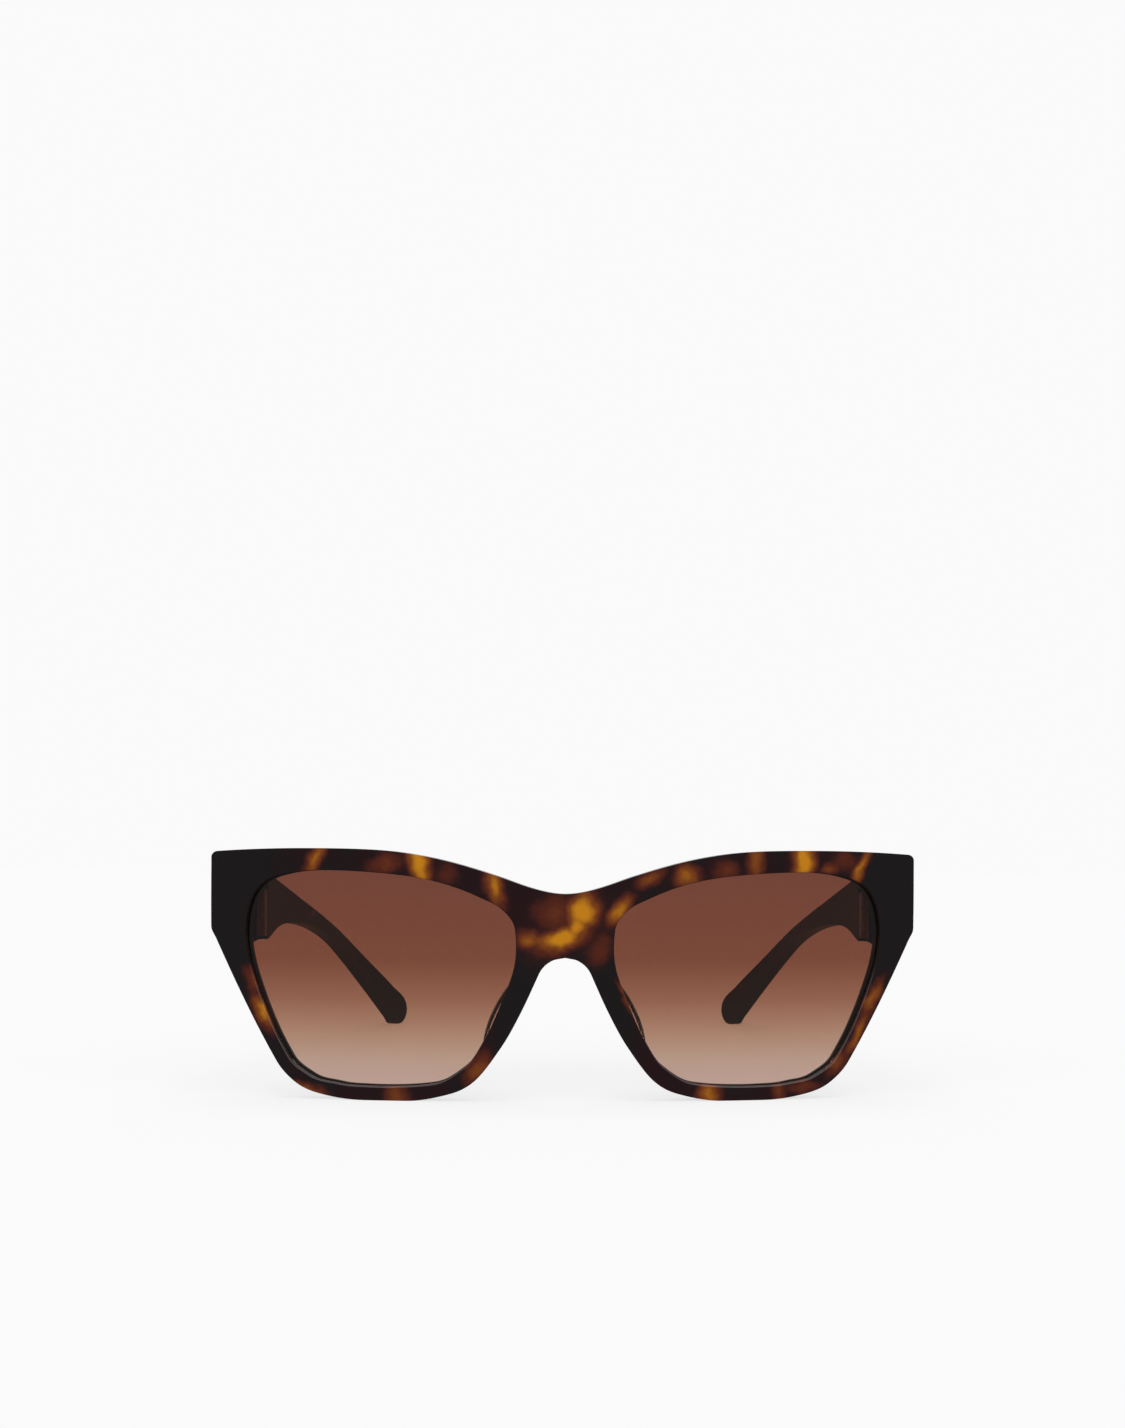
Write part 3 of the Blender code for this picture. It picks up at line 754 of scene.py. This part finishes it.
@dataclass(frozen=True)
class BrushedMetal:
    """Metal with a fine grain drawn along one direction."""

    name: str
    colour: Colour
    worn: Colour
    roughness: float = 0.26
    grain: tuple[float, float, float] = (3.0, 3.0, 30.0)
    grain_range: float = 0.16

    def material(self) -> Material:
        """The finished material."""
        material, nodes = new_material(self.name)
        place = nodes.place_mm()
        stretched = nodes.vector("MULTIPLY", place, self.grain).outputs[0]
        lines = nodes.noise(stretched, 1.0, 4.0).outputs["Fac"]
        clouds = nodes.noise(place, 0.8, 3.0).outputs["Fac"]
        colour = nodes.mixed(nodes.eased(clouds, 0.4, 0.7), self.colour, self.worn)
        least = self.roughness - self.grain_range / 2
        roughness = nodes.math("MULTIPLY_ADD", lines, self.grain_range, least)
        bump = nodes.add("ShaderNodeBump", Height=lines, Strength=0.12, Distance=0.00002)
        shader = nodes.add(
            "ShaderNodeBsdfPrincipled",
            Base_Color=colour,
            Roughness=roughness,
            Metallic=1.0,
            Normal=bump.outputs[0],
        )
        nodes.add("ShaderNodeOutputMaterial", Surface=shader.outputs[0])
        return material


# ---------------------------------------------------------------- sub-assemblies


@dataclass
class Front:
    """The bent acetate front: both rims, the bridge and the endpieces, in one piece."""

    edge_radius: float = 0.62
    opening_radius: float = 0.28
    rungs: int = 5
    groove_start: float = 0.95
    groove_width: float = 1.9
    groove_depth: float = 0.7
    groove_flare: float = 0.03
    endpiece_overlap: float = 1.1
    endpiece_flare: float = 1.4
    endpiece_slant: float = 0.43
    endpiece_rounding: float = 0.9
    endpiece_straight: float = 0.6
    endpiece_cuts: int = 6
    temple_edge: float = 1.0
    slot_play: float = 0.15
    slot_head_room: float = 0.45
    leaf_setback: float = 1.45

    def plate(self) -> BMesh:
        """The flat front, solid, with its edges rounded and a lens groove round each opening."""
        bm = bmesh.new()
        opening_tag = bm.verts.layers.int.new("opening")
        outer = traced(FRONT_OUTLINE)
        bridge_steps = FRONT_OUTLINE[-1][3] * FINER
        outer += [outer[-1].lerp(outer[0], step / bridge_steps) for step in range(1, bridge_steps)]
        opening = traced(OPENING_OUTLINE)[:-1]
        edges = add_line(bm, outer, True) + add_line(bm, opening, True)
        bm.verts.ensure_lookup_table()
        for vert in bm.verts[len(outer) :]:
            vert[opening_tag] = 1
        rungs = only(BMEdge, bmesh.ops.bridge_loops(bm, edges=edges)["edges"])
        cross = [edge for edge in rungs if edge.verts[0][opening_tag] != edge.verts[1][opening_tag]]
        bmesh.ops.subdivide_edges(bm, edges=cross, cuts=self.rungs, use_grid_fill=True)
        for vert in bm.verts:
            if not vert.is_boundary:
                vert[opening_tag] = 0
        bmesh.ops.mirror(
            bm, geom=bm.verts[:] + bm.edges[:] + bm.faces[:], axis="X", merge_dist=SAME
        )
        thicken(bm, bm.faces[:], LAYOUT.front_thickness)
        bmesh.ops.recalc_face_normals(bm, faces=bm.faces)
        sharp = creases(bm, CORNER)
        at_opening = [edge for edge in sharp if all(vert[opening_tag] for vert in edge.verts)]
        outside = [edge for edge in sharp if not all(vert[opening_tag] for vert in edge.verts)]
        self.cut_grooves(bm, opening_tag)
        round_over(bm, [edge for edge in outside if edge.is_valid], self.edge_radius, 4)
        round_over(bm, [edge for edge in at_opening if edge.is_valid], self.opening_radius, 3)
        return bm

    def cut_grooves(self, bm: BMesh, opening_tag: BMLayerItem) -> None:
        """Sinks a lens groove into the wall of each opening.

        Args:
            bm: the solid plate.
            opening_tag: the vertex layer that marks the openings.
        """
        low, high = self.groove_start, self.groove_start + self.groove_width
        for depth in (low, high):
            walls = [
                face for face in bm.faces if all(vert[opening_tag] for vert in face.verts)
            ]
            geom = {item for face in walls for item in (face, *face.edges, *face.verts)}
            cut = bmesh.ops.bisect_plane(
                bm, geom=list(geom), dist=SAME, plane_co=(0, depth, 0), plane_no=(0, 1, 0)
            )
            for vert in only(BMVert, cut["geom_cut"]):
                vert[opening_tag] = 1
        band = [
            face
            for face in bm.faces
            if abs(face.normal.y) < 0.5
            and low < face.calc_center_median().y < high
            and all(vert[opening_tag] for vert in face.verts)
        ]
        bmesh.ops.inset_region(
            bm,
            faces=band,
            use_boundary=True,
            use_even_offset=True,
            thickness=self.groove_flare,
            depth=-self.groove_depth,
        )

    def endpiece(self, side: Side) -> Object:
        """The block that the temple closes against, widening towards the front."""
        top, bottom = TEMPLE_TOP[0][1], TEMPLE_BOTTOM[0][1]
        depth = LAYOUT.endpiece_depth + self.endpiece_overlap
        front_y = LAYOUT.parting_y - depth
        bm = cuboid(
            (LAYOUT.temple_x, front_y, bottom), (LAYOUT.endpiece_x, LAYOUT.parting_y, top)
        )
        lengthwise = [
            edge for edge in bm.edges if abs(edge.verts[0].co.y - edge.verts[1].co.y) > 1
        ]
        round_over(bm, lengthwise, self.temple_edge, 4)
        inner_rear = [
            edge
            for edge in bm.edges
            if all(
                vert.co.y > LAYOUT.parting_y - SAME
                and vert.co.x < LAYOUT.temple_x + self.temple_edge + SAME
                for vert in edge.verts
            )
        ]
        round_over(bm, inner_rear, self.endpiece_rounding, 5)
        flat = LAYOUT.parting_y - self.endpiece_rounding - self.endpiece_straight
        for number in range(self.endpiece_cuts):
            level = flat - (flat - front_y) * number / self.endpiece_cuts
            bmesh.ops.bisect_plane(
                bm,
                geom=bm.verts[:] + bm.edges[:] + bm.faces[:],
                plane_co=(0, level, 0),
                plane_no=(0, 1, 0),
            )
        middle_z = (top + bottom) / 2
        width = LAYOUT.endpiece_x - LAYOUT.temple_x
        for vert in bm.verts:
            share = max(0.0, (flat - vert.co.y) / (flat - front_y)) ** 2
            vert.co.z += math.copysign(self.endpiece_flare, vert.co.z - middle_z) * share
            outwards = (vert.co.x - LAYOUT.temple_x) / width
            slant = self.endpiece_slant * (LAYOUT.parting_y - vert.co.y)
            vert.co.x += self.endpiece_flare * share * outwards + slant * (1 - outwards)
        return finished(f"endpiece_{side.word}", on_side(bm, side))

    def slot(self, side: Side) -> Object:
        """The room for the knuckles, open to the inside and to the rear."""
        half = LAYOUT.hinge_half + self.slot_play
        low = (
            LAYOUT.temple_x - 2,
            LAYOUT.hinge_y - self.leaf_setback - self.slot_play,
            LAYOUT.hinge_z - half,
        )
        high = (
            LAYOUT.hinge_x + LAYOUT.knuckle_radius + self.slot_play,
            LAYOUT.parting_y + 2,
            LAYOUT.hinge_z + half + self.slot_head_room,
        )
        return finished(f"slot_{side.word}", on_side(cuboid(low, high), side))

    def build(self, acetate: Material) -> None:
        """Makes the front and puts it in place."""
        bm = self.plate()
        for vert in bm.verts:
            vert.co = LAYOUT.wrapped(vert.co)
        front = finished("front", bm)
        for side in Side:
            combine(front, self.endpiece(side), "UNION")
            combine(front, self.slot(side), "DIFFERENCE")
        even_normals(front)
        mount(front, "front_frame", "front", acetate)


@dataclass
class Lenses:
    """Two meniscus lenses that sit in the rims' grooves."""

    thickness: float = 1.7
    start: float = 1.05
    grow: float = 0.6
    dish: float = 0.8
    rings: tuple[float, ...] = (0.97, 0.92, 0.85, 0.76, 0.66, 0.55, 0.43, 0.3, 0.17, 0.07)

    def blank(self) -> BMesh:
        """A flat lens blank as rings drawn in from its edge."""
        bm = bmesh.new()
        loop = grown(traced(OPENING_OUTLINE)[:-1], self.grow)
        middle = sum(loop, Vector()) / len(loop)
        edges = add_line(bm, loop, True)
        share_before = 1.0
        for share in self.rings:
            made = bmesh.ops.extrude_edge_only(bm, edges=edges)["geom"]
            verts = only(BMVert, made)
            bmesh.ops.scale(
                bm,
                verts=verts,
                vec=(share / share_before,) * 3,
                space=Matrix.Translation(-middle),
            )
            fresh = set(verts)
            edges = [edge for edge in only(BMEdge, made) if set(edge.verts) <= fresh]
            share_before = share
        made = bmesh.ops.edgenet_fill(bm, edges=edges)["faces"]
        bmesh.ops.poke(bm, faces=made)
        reach = max((point - middle).length for point in loop)
        for vert in bm.verts:
            out = (vert.co - middle).length / reach
            vert.co.y = self.start - self.dish * (1 - out**2)
        thicken(bm, bm.faces[:], self.thickness)
        return bm

    def build(self, tint: Material) -> None:
        """Makes both lenses and puts them in place."""
        for side in Side:
            bm = self.blank()
            bmesh.ops.recalc_face_normals(bm, faces=bm.faces)
            for vert in bm.verts:
                vert.co = LAYOUT.wrapped(vert.co)
            lens = finished(f"lens_{side.word}_glazed", on_side(bm, side))
            mount(lens, f"lens_{side.word}", "front", tint)


@dataclass
class NosePads:
    """Clear pads bonded behind the rims."""

    length: float = 17.6
    width: float = 5.0
    depth: float = 5.6
    crown_share: float = 0.98
    base_radius: float = 0.12
    splay: float = 0.3
    tilt: float = 26.0
    gap: float = 0.05
    centre: tuple[float, float] = (12.1, 17.0)

    def pad(self) -> BMesh:
        """Half an egg with its flat side on the back of the rim."""
        bm = bmesh.new()
        bmesh.ops.create_uvsphere(bm, u_segments=56, v_segments=36, radius=1)
        bmesh.ops.rotate(bm, verts=bm.verts, matrix=Matrix.Rotation(math.pi / 2, 3, "X"))
        cut = bmesh.ops.bisect_plane(
            bm,
            geom=bm.verts[:] + bm.edges[:] + bm.faces[:],
            plane_co=(0, 0, 0),
            plane_no=(0, -1, 0),
            dist=SAME,
            clear_outer=True,
        )
        bmesh.ops.edgenet_fill(bm, edges=only(BMEdge, cut["geom_cut"]))
        bmesh.ops.scale(
            bm,
            verts=bm.verts,
            vec=(self.width / 2, self.depth * self.crown_share, self.length / 2),
        )
        round_over(bm, creases(bm), self.base_radius, 2)
        bmesh.ops.rotate(
            bm, verts=bm.verts, matrix=Matrix.Rotation(math.radians(-self.tilt), 3, "Y")
        )
        for vert in bm.verts:
            vert.co.x += self.splay * vert.co.y + self.centre[0]
            vert.co.y += LAYOUT.front_thickness + self.gap
            vert.co.z += self.centre[1]
        return bm

    def build(self, clear: Material) -> None:
        """Makes both pads and puts them in place."""
        for side in Side:
            bm = self.pad()
            for vert in bm.verts:
                vert.co = LAYOUT.wrapped(vert.co)
            pad = finished(f"nose_pad_{side.word}_moulded", on_side(bm, side))
            mount(pad, f"nose_pad_{side.word}", "front", clear)


@dataclass
class Temples:
    """Two acetate temples, deep at the hinge and tapering to a rounded tip."""

    length: float = 133.2
    edge_radius: float = 1.0
    rungs: int = 5
    taper_end: float = 0.3
    tongue_length: float = 8.0
    tongue_height: float = 2.6
    tongue_thickness: float = 0.86
    tongue_offset: float = 0.65
    play: float = 0.08

    def __post_init__(self) -> None:
        """Traces the plan once."""
        self.plan = traced(TEMPLE_PLAN, 8)

    def thickness(self, distance: float) -> float:
        """The temple's thickness at a distance behind its front end."""
        share = min(1.0, distance / self.length / self.taper_end)
        return LAYOUT.temple_thickness + (LAYOUT.tip_thickness - LAYOUT.temple_thickness) * share

    def placed(self, point: Vector) -> Vector:
        """Bends a point of the straight temple along its plan.

        Args:
            point: x is the distance behind the front end, y the depth as a share, z the height.

        Returns:
            The point on the left temple.
        """
        for start, end in zip(self.plan, self.plan[1:]):
            if point.x <= end.x or end is self.plan[-1]:
                break
        share = (point.x - start.x) / (end.x - start.x)
        inset = start.z + (end.z - start.z) * share
        inwards = Vector((1, (end.z - start.z) / (end.x - start.x), 0)).normalized()
        face = Vector((LAYOUT.temple_x - inset, LAYOUT.temple_y + point.x, point.z))
        return face + point.y * self.thickness(point.x) / LAYOUT.temple_thickness * inwards

    def straight(self) -> BMesh:
        """The temple before it is bent, as a plate with its long edges rounded."""
        bm = bmesh.new()
        top, bottom = traced(TEMPLE_TOP), traced(TEMPLE_BOTTOM)
        edges = add_line(bm, top, False) + add_line(bm, bottom, False)
        made = bmesh.ops.bridge_loops(bm, edges=edges)["edges"]
        rungs = [edge for edge in made if edge.is_valid]
        bmesh.ops.subdivide_edges(bm, edges=rungs, cuts=self.rungs, use_grid_fill=True)
        thicken(bm, bm.faces[:], LAYOUT.temple_thickness)
        bmesh.ops.recalc_face_normals(bm, faces=bm.faces)
        sharp = creases(bm, CORNER)
        front = [edge for edge in sharp if all(vert.co.x < SAME for vert in edge.verts)]
        upper_lower = [
            edge
            for edge in sharp
            if edge not in front and abs(edge.verts[0].co.y - edge.verts[1].co.y) < SAME
        ]
        round_over(bm, upper_lower, self.edge_radius, 5)
        return bm

    def pocket(self, side: Side) -> Object:
        """The room for the hinge's tongue."""
        x = LAYOUT.hinge_x + self.tongue_offset
        half = self.tongue_thickness / 2 + self.play
        low = (x - half, LAYOUT.hinge_y, LAYOUT.hinge_z - self.tongue_height / 2 - self.play)
        high = (
            x + half,
            LAYOUT.temple_y + self.tongue_length + self.play,
            LAYOUT.hinge_z + self.tongue_height / 2 + self.play,
        )
        return finished(f"pocket_{side.word}", on_side(cuboid(low, high), side))

    def build(self, acetate: Material) -> None:
        """Makes both temples and puts them in place."""
        for side in Side:
            bm = self.straight()
            for vert in bm.verts:
                vert.co = self.placed(vert.co)
            temple = finished(f"temple_{side.word}_polished", on_side(bm, side))
            combine(temple, self.pocket(side), "DIFFERENCE")
            even_normals(temple)
            mount(temple, f"temple_{side.word}", f"{side.word}_temple", acetate)


@dataclass
class Hinges:
    """The metal pieces, which keep their CAD meshes."""

    def build(self, nodes: dict[str, Object]) -> None:
        """Dresses the hinge leaves, the screws and the wire cores."""
        satin = BrushedMetal("satin_nickel", (0.66, 0.63, 0.59), (0.54, 0.51, 0.47), 0.44)
        bright = BrushedMetal(
            "bright_steel", (0.62, 0.61, 0.59), (0.5, 0.49, 0.47), 0.2, (3, 3, 18)
        )
        wire = BrushedMetal("drawn_wire", (0.5, 0.49, 0.47), (0.42, 0.41, 0.39), 0.34, (14, 1, 14))
        hinge_metal = satin.material()
        finishes = {
            "front_hinge": ("hinge_metal", hinge_metal),
            "temple_hinge": ("hinge_metal", hinge_metal),
            "hinge_screw": ("screw_metal", bright.material()),
            "temple_core": ("core_metal", wire.material()),
        }
        for stem, (slot, material) in finishes.items():
            for side in Side:
                node = nodes[f"{stem}_{side.word}"]
                node.data.materials.clear()
                node.data.materials.append(material)
                LOG.info("%s dressed in %s", node.name, material.name)


# ---------------------------------------------------------------- studio


@dataclass
class Studio:
    """A pale light table, an even sky with two softboxes, and the camera."""

    camera_distance: float = 0.300
    camera_height: float = 0.04845
    camera_pan: float = -2.05
    camera_roll: float = 0.31
    lens: float = 37.78
    shift: tuple[float, float] = (-0.0397, 0.1025)
    table_size: float = 6.0
    table_colour: Colour = (0.12, 0.12, 0.12)
    table_glow: float = 0.715
    table_mirrored: float = 0.25
    backdrop: float = 0.956
    dome: float = 0.62
    dark_front: float = 0.25
    strip: float = 4.0
    strip_height: float = 0.52
    strip_half: float = 0.22
    strip_core: float = 0.8
    overhead: float = 4.0

    def build(self) -> None:
        """Makes everything that isn't the glasses."""
        self.table()
        self.world()
        self.camera()

    def table(self) -> None:
        """A wide plain surface at z = 0 that glows a little, so that shadows stay faint."""
        bm = bmesh.new()
        bmesh.ops.create_grid(bm, x_segments=4, y_segments=4, size=self.table_size)
        mesh = bpy.data.meshes.new("table")
        bm.to_mesh(mesh)
        bm.free()
        table = bpy.data.objects.new("table", mesh)
        bpy.context.scene.collection.objects.link(table)
        material, nodes = new_material("pale_table")
        matt = nodes.add("ShaderNodeBsdfDiffuse", Color=(*self.table_colour, 1))
        glow = nodes.add("ShaderNodeEmission", Color=(1, 1, 1, 1), Strength=self.table_glow)
        plain_table = nodes.add("ShaderNodeAddShader", _0=matt.outputs[0], _1=glow.outputs[0])
        dim = nodes.add("ShaderNodeEmission", Color=(1, 1, 1, 1), Strength=self.table_mirrored)
        mirrored = nodes.add("ShaderNodeLightPath").outputs["Is Glossy Ray"]
        shader = nodes.add(
            "ShaderNodeMixShader", _0=mirrored, _1=plain_table.outputs[0], _2=dim.outputs[0]
        )
        nodes.add("ShaderNodeOutputMaterial", Surface=shader.outputs[0])
        mesh.materials.append(material)

    def world(self) -> None:
        """Soft light from all round, dimmer from in front, with one softbox ahead and one overhead."""
        world = bpy.data.worlds.new("studio")
        bpy.context.scene.world = world
        world.use_nodes = True
        nodes = Nodes(world.node_tree)
        way = nodes.add("ShaderNodeTexCoord").outputs["Generated"]
        parts = nodes.add("ShaderNodeSeparateXYZ", Vector=way)
        ahead = nodes.math("MULTIPLY", parts.outputs["Y"], -1.0)
        low = nodes.eased(parts.outputs["Z"], 0.8, 0.5)
        dim = nodes.math("MULTIPLY", nodes.eased(ahead, 0.1, 0.5), low)
        even = nodes.add(
            "ShaderNodeMapRange", Value=dim, To_Min=self.dome, To_Max=self.dark_front
        ).outputs["Result"]
        from_strip = nodes.math(
            "ABSOLUTE", nodes.math("SUBTRACT", parts.outputs["Z"], self.strip_height)
        )
        in_strip = nodes.math(
            "MULTIPLY",
            nodes.eased(from_strip, self.strip_half, self.strip_half * self.strip_core),
            nodes.eased(ahead, 0.25, 0.45),
        )
        overhead = nodes.math(
            "MULTIPLY", nodes.eased(parts.outputs["Z"], 0.84, 0.92), self.overhead
        )
        strength = nodes.math(
            "MULTIPLY_ADD", in_strip, self.strip, nodes.math("ADD", even, overhead)
        )
        light = nodes.add("ShaderNodeBackground", Color=(1, 1, 1, 1), Strength=strength)
        seen = nodes.add("ShaderNodeBackground", Color=(1, 1, 1, 1), Strength=self.backdrop)
        path = nodes.add("ShaderNodeLightPath").outputs["Is Camera Ray"]
        shader = nodes.add(
            "ShaderNodeMixShader", _0=path, _1=light.outputs[0], _2=seen.outputs[0]
        )
        nodes.add("ShaderNodeOutputWorld", Surface=shader.outputs[0])

    def camera(self) -> None:
        """A level camera just under the front's top edge, turned slightly past the glasses."""
        data = bpy.data.cameras.new("camera")
        data.lens = self.lens
        data.sensor_width = 36
        data.shift_x, data.shift_y = self.shift
        data.clip_start, data.clip_end = 0.01, 50
        camera = bpy.data.objects.new("camera", data)
        front_y = -LAYOUT.centre_y * METRES_PER_MM
        camera.location = (0, front_y - self.camera_distance, self.camera_height)
        turn = Matrix.Rotation(math.radians(self.camera_pan), 4, "Z")
        level = Matrix.Rotation(math.pi / 2, 4, "X")
        roll = Matrix.Rotation(math.radians(self.camera_roll), 4, "Z")
        camera.rotation_euler = (turn @ level @ roll).to_euler()
        bpy.context.scene.collection.objects.link(camera)
        bpy.context.scene.camera = camera


def main() -> None:
    """Builds the glasses and the studio in order."""
    logging.basicConfig(level=logging.INFO, format="%(name)s: %(message)s")
    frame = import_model()
    bpy.context.scene.view_settings.view_transform = "Standard"
    front_acetate = Tortoise("front_tortoise", patches=FRONT_PATCHES).material()
    temple_acetate = Tortoise("temple_tortoise", cloud_share=0.35).material()
    Front().build(front_acetate)
    Lenses().build(GradientTint().material())
    NosePads().build(ClearAcetate().material())
    Temples().build(temple_acetate)
    Hinges().build(frame["nodes"])
    Studio().build()


if __name__ == "__main__":
    main()
